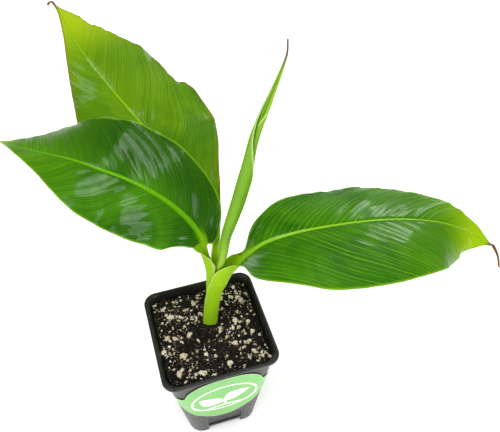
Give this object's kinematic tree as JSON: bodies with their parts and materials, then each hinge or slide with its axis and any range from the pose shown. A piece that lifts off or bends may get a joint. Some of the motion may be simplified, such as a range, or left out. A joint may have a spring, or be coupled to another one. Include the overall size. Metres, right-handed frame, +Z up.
{
  "type": "potted banana plant",
  "caption": "Young banana plant with broad open leaves and a furled spear, growing from potting mix in a tapered square nursery pot with a printed label.",
  "frame": {"origin": "middle of the pot's underside, on the floor it stands on", "axes": "+Z up along the pot; the label faces -Y; +X to the right seen from the label side, the way the right leaf reaches"},
  "size_m": [0.2811, 0.2481, 0.2872],
  "materials": {
    "pot_plastic": "satin black moulded polypropylene",
    "label_film": "printed film, light green with a white sprout sign",
    "potting_mix": "damp dark peat mix",
    "perlite": "porous expanded granules",
    "leaf_deep_green": "waxy leaf, deep green",
    "leaf_green": "waxy leaf, mid green",
    "leaf_young_green": "young leaf, yellow green",
    "leaf_pale_green": "furled leaf, pale green"
  },
  "bodies": {
    "root": {"nursery_pot": "pot_plastic", "label": "label_film", "potting_mix": "potting_mix", "left_leaf": "leaf_deep_green", "right_leaf": "leaf_green", "back_leaf": "leaf_young_green", "spear_leaf": "leaf_pale_green", "perlite_granule_01": "perlite", "perlite_granule_02": "perlite", "perlite_granule_03": "perlite", "perlite_granule_04": "perlite", "perlite_granule_05": "perlite", "perlite_granule_06": "perlite", "perlite_granule_07": "perlite", "perlite_granule_08": "perlite", "perlite_granule_09": "perlite", "perlite_granule_10": "perlite", "perlite_granule_11": "perlite", "perlite_granule_12": "perlite", "perlite_granule_13": "perlite", "perlite_granule_14": "perlite", "perlite_granule_15": "perlite", "perlite_granule_16": "perlite"}
  },
  "joints": []
}
